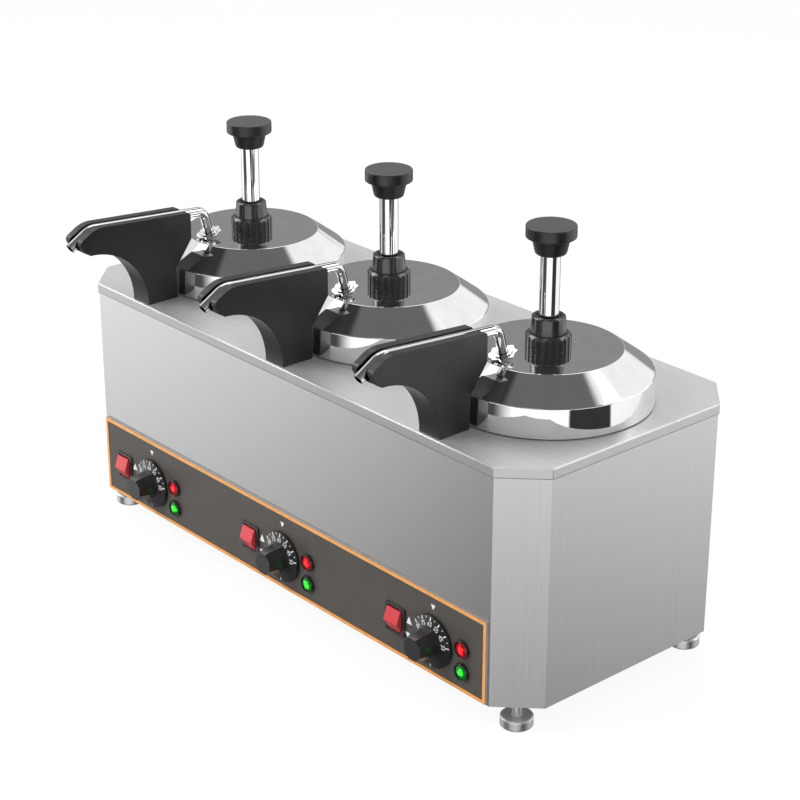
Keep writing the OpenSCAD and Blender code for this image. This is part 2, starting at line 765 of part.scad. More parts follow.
module panel_border() color(orange_rgb)
    translate([0, 0, panel_low + panel_h / 2]) rotate([90, 0, 0]) difference() {
        linear_extrude(border_t) square([panel_len, panel_h], center = true);
        translate([0, 0, -cut_over]) linear_extrude(border_t + 2 * cut_over)
            square([panel_len - 2 * border_w, panel_h - 2 * border_w], center = true);
    }

module switch_frames() color(black_rgb) each_station()
    facing_front(-switch_x, panel_front, switch_z) difference() {
        union() {
            linear_extrude(bezel_t) polygon(round_rect(bezel_w, bezel_h, bezel_round));
            translate([0, 0, -switch_depth]) linear_extrude(switch_depth + bezel_t)
                square([switch_box_w, switch_box_h], center = true);
            for (y = [-switch_blade_gap / 2, switch_blade_gap / 2])
                translate([-switch_blade_w / 2, y, -switch_depth - switch_blade_len])
                    cube([switch_blade_w, switch_blade_t, switch_blade_len]);
        }
        translate([0, 0, switch_wall - switch_depth]) linear_extrude(switch_depth + bezel_t)
            square([switch_in_w, switch_in_h], center = true);
        translate([-switch_box_w / 2 - cut_over, 0, bezel_t - pivot_depth]) rotate([0, 90, 0])
            cylinder(h = switch_box_w + 2 * cut_over, r = pin_r + running_gap, $fn = 48);
    }

module rocker() color(red_rgb)
    translate([-switch_x, panel_front - bezel_t + pivot_depth, switch_z]) rotate([rocker_tilt, 0, 0]) {
        side_profile(rocker_w) polygon([
            [-pivot_depth, -rocker_h / 2], [-pivot_depth, rocker_h / 2], [0.7 * pivot_depth, 0.36 * rocker_h],
            [0.9 * pivot_depth, 0.2 * rocker_h], [0.9 * pivot_depth, -0.2 * rocker_h],
            [0.7 * pivot_depth, -0.36 * rocker_h]]);
        side_profile(rocker_w) polygon([[-pivot_depth, -rocker_h / 2],
            [-pivot_depth - ridge_h, 0], [-pivot_depth, rocker_h / 2]]);
        translate([-rocker_w / 2 - pin_len, 0, 0]) rotate([0, 90, 0])
            cylinder(h = rocker_w + 2 * pin_len, r = pin_r, $fn = 48);
    }

module lamp_bezels() color(black_rgb) each_station() each_lamp(panel_front) rotate_extrude()
    polygon([[lens_r + lens_gap, -lamp_body_depth], [lamp_body_r, -lamp_body_depth], [lamp_body_r, 0],
        [lamp_r, 0], [lamp_r, 0.6 * lamp_h], [0.93 * lamp_r, lamp_h], [0.86 * lamp_r, lamp_h],
        [lens_r + lens_gap, 0.3 * lamp_h]]);

// A lens is a rod with a domed and stepped end
module lens() rotate_extrude()
    polygon(concat([[0, -0.5 * lamp_body_depth], [lens_r, -0.5 * lamp_body_depth]],
        [for (a = [0:15:90]) [lens_r * cos(a), 0.45 * lamp_h + 0.3 * lens_r * sin(a)]]));
module red_lamp_lenses() color(red_rgb) each_station()
    facing_front(lamp_x, panel_front, control_h + lamp_up) lens();
module green_lamp_lenses() color(green_rgb) each_station()
    facing_front(lamp_x, panel_front, control_h + lamp_up - lamp_pitch) lens();

module dial() color(black_rgb) facing_front(dial_x, panel_front - dial_gap, control_h) {
    rotate_extrude() polygon([[0, 0], [dial_d / 2, 0], [dial_d / 2, 0.4 * dial_skirt_h],
        [0.985 * dial_d / 2, 0.6 * dial_skirt_h], [0.4 * grip_d, dial_skirt_h], [0, dial_skirt_h]]);
    rotate(360 / 16) cylinder(h = dial_skirt_h + grip_h, d1 = grip_d, d2 = grip_tip_d, $fn = 8);
    translate([0, 0, -spindle_reach()]) cylinder(h = spindle_reach() + dial_skirt_h, r = spindle_r);
}
function spindle_reach() = panel_t + dial_gap + sheet_t + stat_plate_t + spindle_grip;

module thermostats() color(cream_rgb) each_station() {
    difference() {
        union() {
            facing_front(dial_x, front_in_y + stat_plate_t, control_h) linear_extrude(stat_plate_t)
                square([stat_plate_w, stat_plate_h], center = true);
            facing_front(dial_x, front_in_y + stat_plate_t + stat_depth, control_h)
                cylinder(h = stat_depth, d = stat_d);
            facing_front(dial_x, stat_back_y, control_h) cylinder(h = capsule_t, d = capsule_d);
        }
        facing_front(dial_x, front_in_y + stat_plate_t + spindle_grip + cut_over, control_h)
            cylinder(h = spindle_grip + stat_plate_t + 2 * cut_over, r = spindle_r + running_gap);
    }
    translate([dial_x, 0, 0]) bent_rod([[stat_back_y - capsule_t / 2, capillary_low],
        [capillary_y, capillary_low], [capillary_y, bulb_z - bulb_d]], [capillary_d], capillary_d / 2);
    translate([dial_x, bulb_y, bulb_z]) cylinder(h = bulb_len, d = bulb_d);
    translate([dial_x, 0, 0]) bent_rod([[capillary_y, bulb_z - bulb_d], [bulb_y, bulb_z + bulb_d]],
        [], capillary_d / 2);
    translate([dial_x, capillary_y, bulb_z - bulb_d]) sphere(d = capillary_d, $fn = 24);
}

// Wells and heaters
module well() color(steel_rgb) at_well() rotate_extrude() polygon([
    [0, well_floor_h], [well_out_r, well_floor_h], [well_out_r, top_z - sheet_t - well_wall],
    [well_out_r + well_flange_w, top_z - sheet_t - well_wall], [well_out_r + well_flange_w, top_z - sheet_t],
    [well_r, top_z - sheet_t], [well_r, well_floor_z], [0, well_floor_z]]);

module band_heaters() color(brass_rgb) each_station() at_well(well_floor_z + band_up) {
    rotate([0, 0, 90 + band_open / 2]) rotate_extrude(angle = 360 - band_open)
        translate([well_out_r + band_gap, 0]) square([band_t, band_h]);
    for (side = [-1, 1]) rotate([0, 0, 90 + side * band_open / 2])
        translate([well_out_r + band_gap, side > 0 ? 0 : -band_t, 0]) cube([4 * band_t, band_t, band_h]);
}

// Spout block: two cheeks with an open slot between them, which holds the tube
module block_outline() difference() {
    polygon(concat(
        [[block_front + block_foot, top_z], [block_front + block_foot, top_z + back_upright_h],
         [block_back, top_z + back_slope_h]],
        arc([block_back - head_round, run_top(block_back - head_round) - head_round / cos(run_rise)],
            head_round, 0, 90 - run_rise, 5),
        arc(knee_centre, knee_r + tube_r, 90 - run_rise, 90 + nose_droop),
        arc(nose_end + (tube_r - nose_round) * nose_up - nose_round * nose_dir, nose_round,
            90 + nose_droop, 180 + nose_droop, 6),
        arc(nose_end - (nose_below - chin_round) * nose_up - chin_round * nose_dir, chin_round,
            180 + nose_droop, 270 + nose_droop, 6),
        [[arch_centre.x, arch_centre.y + arch_r], [arch_centre.x, top_z]]));
    translate(arch_centre) circle(arch_r);
}

module spout_block() color(block_rgb) at_spout() difference() {
    side_profile(block_w) block_outline();
    side_profile(slot_w) polygon(concat(
        beside_tube(-slot_below, block_back + cut_over, tube_mouth + cut_over * nose_dir),
        [tube_mouth + block_w * nose_up, [block_back + cut_over, run_top(block_back) + block_w]]));
    translate([0, nose_end.x, nose_end.y]) rotate([atan2(-nose_dir.x, nose_dir.y), 0, 0])
        translate([0, 0, -relief_depth]) cylinder(h = relief_depth + cut_over, d = relief_d);
    translate([0, cartridge_y, top_z - cut_over])
        cylinder(h = cartridge_len - cartridge_tail + cut_over + cartridge_gap, d = cartridge_d + 2 * cartridge_gap);
    each_block_screw(top_z - cut_over)
        cylinder(h = block_screw_grip + 2 * cut_over, d = block_screw_d, $fn = 32);
}

module spout_heaters() color(chrome_rgb) each_station()
    at_spout(cartridge_y, top_z - cartridge_tail) cylinder(h = cartridge_len, d = cartridge_d);

module spout_block_screws() color(steel_rgb) each_station() at_spout() each_block_screw(top_z - sheet_t) {
    translate([0, 0, -block_screw_head_h]) cylinder(h = block_screw_head_h, d = block_screw_head_d);
    cylinder(h = sheet_t + block_screw_grip, d = block_screw_d - screw_play);
}

// Pot with a flat rim that rests on the top plate
module pot() color(steel_rgb) at_well() rotate_extrude() polygon(concat(
    [[0, pot_z]], arc([pot_r - pot_corner_r, pot_z + pot_corner_r], pot_corner_r, -90, 0),
    [[pot_r, rim_z], [rim_r, rim_z], [rim_r, rim_z + rim_t - rim_chamfer],
     [rim_r - rim_chamfer, rim_z + rim_t], [pot_r - pot_wall, rim_z + rim_t]],
    arc([pot_r - pot_corner_r, pot_z + pot_corner_r], pot_corner_r - pot_wall, 0, -90),
    [[0, pot_z + pot_wall]]));

// Lid: an upright band, a cone and a flat top. Inside, a ring rests on the pot's rim, and its dished
// edge centres the lid but lets it leave slanting back, clear of the spout block's head
lid_shoulder = [lid_r - lid_lean, lid_z + lid_band_h];
lid_cone_tilt = atan2(lid_top_z - lid_shoulder.y, lid_shoulder.x - lid_top_r);
lid_band_tilt = atan2(lid_lean, lid_band_h);
function lid_edge(p, in_tilt, out_tilt) = arc(
    p + lid_round / cos((out_tilt - in_tilt) / 2) * [cos(180 + (in_tilt + out_tilt) / 2), sin(180 + (in_tilt + out_tilt) / 2)],
    lid_round, in_tilt, out_tilt, 5);
lid_inner_shoulder = lid_shoulder - [lid_wall, 0.4 * lid_wall];
lid_inner_top_r = lid_top_r - 0.4 * lid_wall;

module lid() color(chrome_rgb) difference() {
    at_well() rotate_extrude() polygon(concat(
        [[lid_r, lid_z]],
        lid_edge(lid_shoulder, lid_band_tilt, 90 - lid_cone_tilt),
        lid_edge([lid_top_r, lid_top_z], 90 - lid_cone_tilt, 90),
        [[0, lid_top_z], [0, lid_under_z], [lid_inner_top_r, lid_under_z], lid_inner_shoulder,
         [lid_r - lid_wall - 0.2 * lid_lean, ledge_z + spigot_t], [spigot_r - 0.4 * spigot_t, ledge_z + spigot_t],
         [spigot_r - spigot_h - 1.4 * spigot_t, ledge_z - spigot_h], [spigot_r - spigot_h, ledge_z - spigot_h],
         [spigot_r, ledge_z],
         [lid_r - lid_wall, ledge_z], [lid_r - lid_wall, lid_z]]));
    at_well(lid_under_z - cut_over) cylinder(h = lid_wall + 2 * cut_over, r = sleeve_r + screw_play);
    at_spout(riser_y, lid_under_z - cut_over) cylinder(h = lid_wall + 2 * cut_over, r = riser_r + screw_play);
}

// The riser from a height to past its bend, and the pipe that leads to it from the stem
module riser(r, low, past = 0) at_spout()
    bent_rod([[riser_y, low], riser_bend, riser_bend + (nipple_len + past) * leg_dir], [foot_bend_r], r);
module to_riser()
    at_well(outlet_z) rotate([90, 0, -atan2(spout_x, riser_offset)]) children();

// Pump body: threaded sleeve, flange, cylinder, suction stem, strainer and riser pipe in one piece
module pump_body() color(cream_rgb) difference() {
    union() {
        at_well() rotate_extrude() polygon([[0, strainer_z], [strainer_d / 2, strainer_z],
            [strainer_d / 2, strainer_top_z], [stem_r, strainer_top_z], [stem_r, cylinder_z],
            [cylinder_r, cylinder_z], [cylinder_r, pump_flange_z], [pump_flange_r, pump_flange_z],
            [pump_flange_r, lid_under_z], [sleeve_r, lid_under_z], [sleeve_r, bush_seat_z], [0, bush_seat_z]]);
        riser(riser_r, outlet_z - riser_r);
        to_riser() cylinder(h = norm([spout_x, riser_offset]), r = 0.9 * riser_r);
    }
    at_well() rotate_extrude() polygon([[0, strainer_z - cut_over],
        [strainer_d / 2 - strainer_wall, strainer_z - cut_over],
        [strainer_d / 2 - strainer_wall, strainer_top_z - 2 * strainer_wall], [pipe_bore_r, strainer_top_z - strainer_wall],
        [pipe_bore_r, bore_z], [cylinder_bore_r, bore_z], [cylinder_bore_r, bore_top_z],
        [sleeve_bore_r, bore_top_z], [sleeve_bore_r, bush_seat_z + cut_over], [0, bush_seat_z + cut_over]]);
    riser(pipe_bore_r, outlet_z, cut_over);
    to_riser() cylinder(h = norm([spout_x, riser_offset]), r = 0.9 * pipe_bore_r);
    at_well(strainer_z) for (i = [0:strainer_slots - 1]) rotate([0, 0, 45 + i * 360 / strainer_slots])
        translate([0, -strainer_slot_w / 2, -cut_over]) cube([strainer_d, strainer_slot_w, strainer_slot_h + cut_over]);
}

module collar_nut() color(black_rgb) difference() {
    at_well() rotate_extrude() polygon([[sleeve_r + thread_gap, lid_top_z], [nut_d / 2, lid_top_z],
        [nut_d / 2, nut_top_z - nut_bevel], [nut_d / 2 - nut_bevel, nut_top_z], [bush_d / 2 + thread_gap, nut_top_z],
        [bush_d / 2 + thread_gap, nut_top_z - nut_web_t], [sleeve_r + thread_gap, nut_top_z - nut_web_t]]);
    at_well(lid_top_z) for (i = [0:nut_grooves - 1]) rotate([0, 0, i * 360 / nut_grooves])
        translate([nut_d / 2 + 0.1 * groove_w, 0, -cut_over])
            cylinder(h = nut_h - 0.6 * nut_bevel + cut_over, d = groove_w, $fn = 24);
}

module guide_bush() color(black_rgb) at_well() rotate_extrude() polygon([
    [rod_r + running_gap, bush_seat_z - bush_spigot_h], [sleeve_bore_r - bush_spigot_gap, bush_seat_z - bush_spigot_h],
    [sleeve_bore_r - bush_spigot_gap, bush_seat_z], [sleeve_r, bush_seat_z], [sleeve_r, bush_seat_z + bush_flange_t],
    [bush_d / 2, bush_seat_z + bush_flange_t], [bush_d / 2, nut_top_z], [bush_top_d / 2, bush_top_z - bush_chamfer],
    [bush_top_d / 2 - bush_chamfer, bush_top_z], [bush_recess_d / 2, bush_top_z],
    [bush_recess_d / 2, bush_top_z - bush_recess_h], [rod_r + running_gap, bush_top_z - bush_recess_h]]);

// Plunger: rod and piston, with a groove for the seal
module plunger_rod() color(chrome_rgb) at_well() rotate_extrude() polygon([
    [0, piston_z], [cylinder_bore_r - 2 * running_gap, piston_z],
    [cylinder_bore_r - 2 * running_gap, piston_z + (piston_h - seal_groove_h) / 2],
    [cylinder_bore_r - seal_groove_depth, piston_z + (piston_h - seal_groove_h) / 2],
    [cylinder_bore_r - seal_groove_depth, piston_z + (piston_h + seal_groove_h) / 2],
    [cylinder_bore_r - 2 * running_gap, piston_z + (piston_h + seal_groove_h) / 2],
    [cylinder_bore_r - 2 * running_gap, piston_top_z], [rod_r, piston_top_z],
    [rod_r, knob_z + knob_seat], [0, knob_z + knob_seat]]);

module push_knob() color(black_rgb) at_well() rotate_extrude() polygon(concat(
    [[rod_r + running_gap, knob_z]],
    arc([knob_taper_d / 2 - (knob_taper_d / 2 - knob_foot_r), knob_z + (knob_taper_d / 2 - knob_foot_r)],
        knob_taper_d / 2 - knob_foot_r, -90, -10, 6),
    [[knob_neck_d / 2, knob_top_z - knob_rim_h - knob_neck_step], [knob_neck_d / 2, knob_top_z - knob_rim_h],
     [knob_d / 2 - knob_edge, knob_top_z - knob_rim_h]],
    arc([knob_d / 2 - knob_edge, knob_top_z - knob_rim_h + knob_edge], knob_edge, -90, 0, 4),
    arc([knob_d / 2 - knob_edge, knob_top_z - knob_edge], knob_edge, 0, 90, 4),
    [[0, knob_top_z], [0, knob_z + knob_seat + thread_gap], [rod_r + running_gap, knob_z + knob_seat + thread_gap]]));

// Return spring: one wire wound up round the station's axis, closed curls at both ends
function spring_rise(t) =
    t < 1 ? t * spring_end_pitch
    : t > spring_curls - 1 ? spring_high - spring_low - (spring_curls - t) * spring_end_pitch
    : spring_end_pitch + (t - 1) * spring_pitch;
spring_turns = [for (i = [0:spring_curls * spring_rings]) i / spring_rings];
spring_wire = [for (t = spring_turns)
    [spring_r * cos(360 * t), spring_r * sin(360 * t), spring_low + spring_rise(t)]];
spring_gap = min([for (i = [0:len(spring_wire) - 1 - spring_rings])
    norm(spring_wire[i + spring_rings] - spring_wire[i])]) - spring_wire_d;
echo(spring_least_gap = spring_gap);

module plunger_spring() {
    last = len(spring_turns) - 1;
    points = [for (i = [0:last], k = [0:spring_sides - 1])
        let (a = 360 * spring_turns[i], b = 360 * k / spring_sides)
        spring_wire[i] + spring_wire_r * [cos(b) * cos(a), cos(b) * sin(a), sin(b)]];
    sides = [for (i = [0:last - 1], k = [0:spring_sides - 1])
        let (a = i * spring_sides + k, b = i * spring_sides + (k + 1) % spring_sides)
        each [[a, a + spring_sides, b], [b, a + spring_sides, b + spring_sides]]];
    first_cap = [for (k = [1:spring_sides - 2]) [0, k, k + 1]];
    last_cap = [for (k = [1:spring_sides - 2])
        [last * spring_sides, last * spring_sides + k + 1, last * spring_sides + k]];
    color(steel_rgb) at_well() polyhedron(points, concat(sides, first_cap, last_cap));
}

// Spout tube and the star nut that holds it on the riser
module spout_tube() color(chrome_rgb) at_spout() bent_rod(tube_path, tube_radii, tube_r, pipe_bore_r);

module star_nut() color(chrome_rgb) on_leg() difference() {
    union() {
        translate([0, 0, star_seat(star_r)]) linear_extrude(star_h) polygon(star_outline);
        translate([0, 0, star_seat(star_collar_r)])
            cylinder(h = star_top + star_collar_h - star_seat(star_collar_r), r = star_collar_r);
    }
    translate([0, 0, -star_r]) cylinder(h = star_r + nipple_len, r = riser_r + thread_gap);
    cylinder(h = star_top + star_collar_h + cut_over, r = tube_r + star_tube_gap);
}

// Rear: cable gland through the casing, and the terminal block on the base plate
module cable_gland() color(black_rgb) translate([gland_x, body_depth, gland_up]) rotate([-90, 0, 0]) difference() {
    union() {
        cylinder(h = gland_hex_t, r = gland_hex_r, $fn = 6);
        rotate_extrude() polygon([[0, 0], [gland_dome_r, 0], [gland_dome_r, 0.7 * gland_out],
            [gland_dome_top_share * gland_dome_r, gland_out], [0, gland_out]]);
        translate([0, 0, -sheet_t - gland_inside]) cylinder(h = gland_inside + sheet_t, r = gland_thread_r);
        translate([0, 0, -sheet_t - locknut_t]) cylinder(h = locknut_t, r = gland_hex_r, $fn = 6);
    }
    translate([0, 0, -sheet_t - gland_inside - cut_over])
        cylinder(h = gland_inside + sheet_t + gland_out + 2 * cut_over, r = gland_bore_r);
}

module terminal_block() color(cream_rgb)
    translate([block_x - block_len / 2, block_y - block_deep, sheet_t + base_t]) {
        pole_pitch = (block_len - block_wall) / block_poles;
        cube([block_len, block_deep, block_tall]);
        for (i = [0:block_poles]) translate([i * pole_pitch, 0, 0])
            cube([block_wall, block_deep, block_tall + block_wall_h]);
        for (i = [0:block_poles - 1], y = [0.28, 0.72] * block_deep)
            translate([block_wall / 2 + (i + 0.5) * pole_pitch, y, 0])
                cylinder(h = block_tall + pole_screw_h, r = pole_screw_r, $fn = 32);
    }

set_on_origin() casing();
set_on_origin() top_plate();
set_on_origin() base_plate();
set_on_origin() control_panel();
set_on_origin() panel_border();
set_on_origin() levelling_feet();
set_on_origin() case_screws();
set_on_origin() cable_gland();
set_on_origin() terminal_block();
set_on_origin() band_heaters();
set_on_origin() spout_heaters();
set_on_origin() spout_block_screws();
set_on_origin() thermostats();
set_on_origin() switch_frames();
set_on_origin() lamp_bezels();
set_on_origin() red_lamp_lenses();
set_on_origin() green_lamp_lenses();
for (s = [0:len(STATIONS) - 1]) {
    at_station(s) well();
    at_station(s) spout_block();
    at_station(s) pot();
    at_station(s) lid();
    at_station(s) pump_body();
    at_station(s) collar_nut();
    at_station(s) guide_bush();
    at_station(s) spout_tube();
    at_station(s) star_nut();
    at_station(s) plunger_spring();
    at_station(s) plunger_rod();
    at_station(s) push_knob();
    at_station(s) dial();
    at_station(s) rocker();
}
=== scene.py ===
import math

import bmesh
import bpy
from mathutils import Matrix, Vector


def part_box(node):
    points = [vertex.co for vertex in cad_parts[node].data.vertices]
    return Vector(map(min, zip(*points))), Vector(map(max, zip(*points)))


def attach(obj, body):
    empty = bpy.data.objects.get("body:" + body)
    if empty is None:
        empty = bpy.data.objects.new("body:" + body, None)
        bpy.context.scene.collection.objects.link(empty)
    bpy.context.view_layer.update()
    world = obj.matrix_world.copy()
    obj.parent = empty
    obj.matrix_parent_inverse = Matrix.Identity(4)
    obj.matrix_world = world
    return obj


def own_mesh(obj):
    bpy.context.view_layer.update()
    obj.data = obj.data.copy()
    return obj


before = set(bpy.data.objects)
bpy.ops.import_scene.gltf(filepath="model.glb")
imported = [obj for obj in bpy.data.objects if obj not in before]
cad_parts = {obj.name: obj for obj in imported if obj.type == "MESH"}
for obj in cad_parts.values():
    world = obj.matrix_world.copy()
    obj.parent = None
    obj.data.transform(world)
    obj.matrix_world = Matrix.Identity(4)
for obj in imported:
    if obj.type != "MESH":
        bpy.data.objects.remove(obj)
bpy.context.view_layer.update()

MM = 0.001
STATIONS = ("left", "middle", "right")
CASING_Z = 23 * MM  # the casing's bottom edge, above the surface that the feet stand on
PANEL_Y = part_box("control_panel")[0].y
BORDER_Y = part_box("panel_border")[0].y


def every(part):
    return [f"{part}_{station}" for station in STATIONS]


def middle_of(name):
    low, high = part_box(name)
    return (low + high) / 2


# Shader helpers

def new_material(name):
    material = bpy.data.materials.new(name)
    material.use_nodes = True
    tree = material.node_tree
    return material, tree, tree.nodes["Principled BSDF"]


def node(tree, kind, **values):
    made = tree.nodes.new(kind)
    for key, value in values.items():
        if key in made.inputs:
            made.inputs[key].default_value = value
        else:
            setattr(made, key, value)
    return made


def feed(tree, socket, value):
    """Set a socket to a number or a colour, or link it to another socket."""
    if isinstance(value, (int, float)):
        socket.default_value = value
    elif isinstance(value, tuple):
        socket.default_value = (*value, 1.0)
    else:
        tree.links.new(value, socket)


def object_coords(tree, scale=None):
    """The object's own coordinates, here the frame's, as they are or scaled for each axis."""
    out = node(tree, "ShaderNodeTexCoord").outputs["Object"]
    if scale is None:
        return out
    mapping = node(tree, "ShaderNodeMapping")
    mapping.inputs["Scale"].default_value = scale
    tree.links.new(out, mapping.inputs["Vector"])
    return mapping.outputs["Vector"]


def noise(tree, scale, detail, roughness):
    """Noise with so many grains to the metre, the same along all axes or one number for each."""
    if isinstance(scale, (int, float)):
        scale = (scale,) * 3
    made = node(tree, "ShaderNodeTexNoise", Scale=1.0, Detail=detail, Roughness=roughness)
    tree.links.new(object_coords(tree, scale), made.inputs["Vector"])
    return made.outputs["Fac"]


def math_node(tree, operation, *values):
    made = node(tree, "ShaderNodeMath", operation=operation)
    for socket, value in zip(made.inputs, values):
        feed(tree, socket, value)
    return made.outputs[0]


def span(tree, value, low, high, to_low, to_high, smooth=True):
    """Carry lo...hi over to out_lo...out_hi, and keep what lies beyond at the ends."""
    made = node(tree, "ShaderNodeMapRange", interpolation_type="SMOOTHSTEP" if smooth else "LINEAR")
    for socket, given in (("Value", value), ("From Min", low), ("From Max", high),
                          ("To Min", to_low), ("To Max", to_high)):
        feed(tree, made.inputs[socket], given)
    return made.outputs["Result"]


def spread(tree, grain, reach, to_low, to_high):
    """Carry a noise, which stays near a half, over to out_lo...out_hi."""
    return span(tree, grain, 0.5 - reach, 0.5 + reach, to_low, to_high)


def blend(tree, first, second, share):
    """A share of the first, and the rest of the second."""
    return math_node(tree, "ADD", math_node(tree, "MULTIPLY", first, share),
                     math_node(tree, "MULTIPLY", second, 1 - share))


def mix_color(tree, factor, first, second):
    made = node(tree, "ShaderNodeMix", data_type="RGBA")
    for socket, value in ((made.inputs["Factor"], factor), (made.inputs[6], first),
                          (made.inputs[7], second)):
        feed(tree, socket, value)
    return made.outputs[2]


def facing(tree, axis):
    """How far a surface faces along an axis of the object, from -1 to 1."""
    parts = node(tree, "ShaderNodeSeparateXYZ")
    tree.links.new(node(tree, "ShaderNodeTexCoord").outputs["Normal"], parts.inputs[0])
    return parts.outputs[axis]


def distance_to(tree, point):
    distance = node(tree, "ShaderNodeVectorMath", operation="DISTANCE")
    tree.links.new(object_coords(tree), distance.inputs[0])
    distance.inputs[1].default_value = point
    return distance.outputs["Value"]


RAYS_AT_EDGES = 6
RAYS_IN_CREVICES = 8
EDGE_TURN = (0.03, 0.16)  # 1 minus the cosine between the normals, where an edge starts and is full
CREVICE_OPEN = (0.30, 0.85)  # how much of the surroundings a point in a hollow sees, where the painted shade is darkest and where it ends


def rounded_normal(tree, radius):
    made = node(tree, "ShaderNodeBevel", samples=RAYS_AT_EDGES)
    made.inputs["Radius"].default_value = radius
    return made.outputs[0]


def edge_share(tree, radius):
    """1 along the edges and 0 on the faces, from how far a rounded normal leaves the face's own."""
    dot = node(tree, "ShaderNodeVectorMath", operation="DOT_PRODUCT")
    tree.links.new(rounded_normal(tree, radius), dot.inputs[0])
    tree.links.new(node(tree, "ShaderNodeNewGeometry").outputs["Normal"], dot.inputs[1])
    return span(tree, math_node(tree, "SUBTRACT", 1.0, dot.outputs["Value"]), *EDGE_TURN, 0.0, 1.0)


def bump(tree, bsdf, height, strength, distance, edge=0.0):
    """Relief from a height, on edges that are shaded as if rounded to that radius."""
    relief = node(tree, "ShaderNodeBump", Strength=strength, Distance=distance)
    tree.links.new(height, relief.inputs["Height"])
    if edge:
        tree.links.new(rounded_normal(tree, edge), relief.inputs["Normal"])
    tree.links.new(relief.outputs["Normal"], bsdf.inputs["Normal"])


# Kinds of surface

BRUSH_RELIEF = 0.06 * MM
GRAIN_RELIEF = 0.04 * MM
WAVE_RELIEF = 1 * MM
STREAK_SHARE = 0.85  # of the fine streaks in brushed steel's colour, the rest is broad ones
# Painted highlight along the edges of brushed steel: white and glossier, with a metallic value of its own
HIGHLIGHT_WHITE = (1.0, 1.0, 1.0)
HIGHLIGHT_ROUGH = 0.12
HIGHLIGHT_FULL = 0.8  # share of an edge from which it has its own metallic value
# Painted shade in the crevices of polished steel
CREVICE_SHADE = (0.10, 0.10, 0.10)
BARE_METAL = (0.30, 0.30, 0.30)
INK_RUNS = (0.4 * MM, 0.7 * MM)  # where the ink down a printed edge's sides fades and ends
GLOSSY_COAT = 0.12

# How far a surface has turned towards an axis where something starts and where it is full
FACES_UP = (0.4, 0.9)
FACES_AXIS = (0.6, 0.95)
FACES_FRONT = (-0.8, -0.5)

# How far the roughness varies below and above what a material gives, and as factors of it
BRUSH_GLOSS = (-0.02, 0.03)
CLOUD_GLOSS = (-0.04, 0.06)
HAZE_GLOSS = (0.7, 1.4)


def around(value, reach):
    """The two ends of a reach round a value."""
    return value + reach[0], value + reach[1]


def brushed(name, along, dark, light, rough, fine, coarse, depth=0.35, edge=0.0, metallic=1.0,
            highlight_metal=1.0):
    """Stainless sheet brushed along one axis: 0 along X, 1 along Y, 2 along Z.

    fine and coarse are the grains to the metre across and along the brushing. With an edge radius, the edges
    get a painted highlight, white and glossier and as metallic as highlight_metal says, and what faces up is
    as metallic as metallic says."""
    material, tree, bsdf = new_material(name)
    scale, broad_scale = [fine] * 3, [fine / 9] * 3
    scale[along], broad_scale[along] = coarse, coarse / 3
    streak = noise(tree, tuple(scale), detail=4.0, roughness=0.65)
    broad = noise(tree, tuple(broad_scale), detail=2.0, roughness=0.5)
    color = mix_color(tree, spread(tree, blend(tree, streak, broad, STREAK_SHARE), 0.18, 0.0, 1.0),
                      dark, light)
    gloss = spread(tree, streak, 0.2, *around(rough, BRUSH_GLOSS))
    if edge:
        # painted highlight: the edges are painted white, glossier and with their own metallic value
        painted_light = edge_share(tree, edge)
        color = mix_color(tree, painted_light, color, HIGHLIGHT_WHITE)
        gloss = span(tree, painted_light, 0.0, 1.0, gloss, HIGHLIGHT_ROUGH)
        face_metal = span(tree, facing(tree, "Z"), *FACES_UP, 1.0, metallic)
        metallic = span(tree, painted_light, 0.0, HIGHLIGHT_FULL, face_metal, highlight_metal)
    feed(tree, bsdf.inputs["Metallic"], metallic)
    feed(tree, bsdf.inputs["Base Color"], color)
    feed(tree, bsdf.inputs["Roughness"], gloss)
    bump(tree, bsdf, streak, depth, BRUSH_RELIEF, edge)
    return material


def moulded(name, dark, light, rough, grain=2600.0, depth=0.12, coat=0.0, specular=0.5, edge=0.0,
            painted_light_face=None):
    """Moulded or coated surface: a fine grain in its colour, gloss and relief.

    painted_light_face is an axis and a lighter colour painted on the faces towards it, as painted light."""
    material, tree, bsdf = new_material(name)
    fine = noise(tree, grain, detail=3.0, roughness=0.6)
    cloud = noise(tree, 45.0, detail=2.0, roughness=0.5)
    color = mix_color(tree, spread(tree, blend(tree, fine, cloud, 0.5), 0.15, 0.0, 1.0), dark, light)
    # painted light: the faces towards the axis are painted lighter
    if painted_light_face:
        axis, painted_light = painted_light_face
        color = mix_color(tree, span(tree, facing(tree, axis), *FACES_AXIS, 0.0, 1.0), color, painted_light)
    feed(tree, bsdf.inputs["Base Color"], color)
    feed(tree, bsdf.inputs["Roughness"], spread(tree, cloud, 0.2, *around(rough, CLOUD_GLOSS)))
    bsdf.inputs["Specular IOR Level"].default_value = specular
    bsdf.inputs["Coat Weight"].default_value = coat
    bsdf.inputs["Coat Roughness"].default_value = GLOSSY_COAT
    bump(tree, bsdf, fine, depth, GRAIN_RELIEF, edge)
    return material


def polished(name, dark, light, rough, waviness=0.0, painted_shade_reach=0.0):
    """Polished steel: a trace of polishing haze, a faint waviness, and painted shade within crevices."""
    material, tree, bsdf = new_material(name)
    haze = noise(tree, 60.0, detail=3.0, roughness=0.55)
    color = mix_color(tree, spread(tree, haze, 0.2, 0.0, 1.0), dark, light)
    # painted shade: darker wherever the surroundings are near
    if painted_shade_reach:
        near = node(tree, "ShaderNodeAmbientOcclusion", Distance=painted_shade_reach, samples=RAYS_IN_CREVICES)
        color = mix_color(tree, span(tree, near.outputs["AO"], *CREVICE_OPEN, 0.0, 1.0), CREVICE_SHADE, color)
    feed(tree, bsdf.inputs["Base Color"], color)
    feed(tree, bsdf.inputs["Roughness"], spread(tree, haze, 0.2, *(rough * share for share in HAZE_GLOSS)))
    bsdf.inputs["Metallic"].default_value = 1.0
    if waviness:
        bump(tree, bsdf, noise(tree, 22.0, detail=1.0, roughness=0.4), waviness, WAVE_RELIEF)
    return material


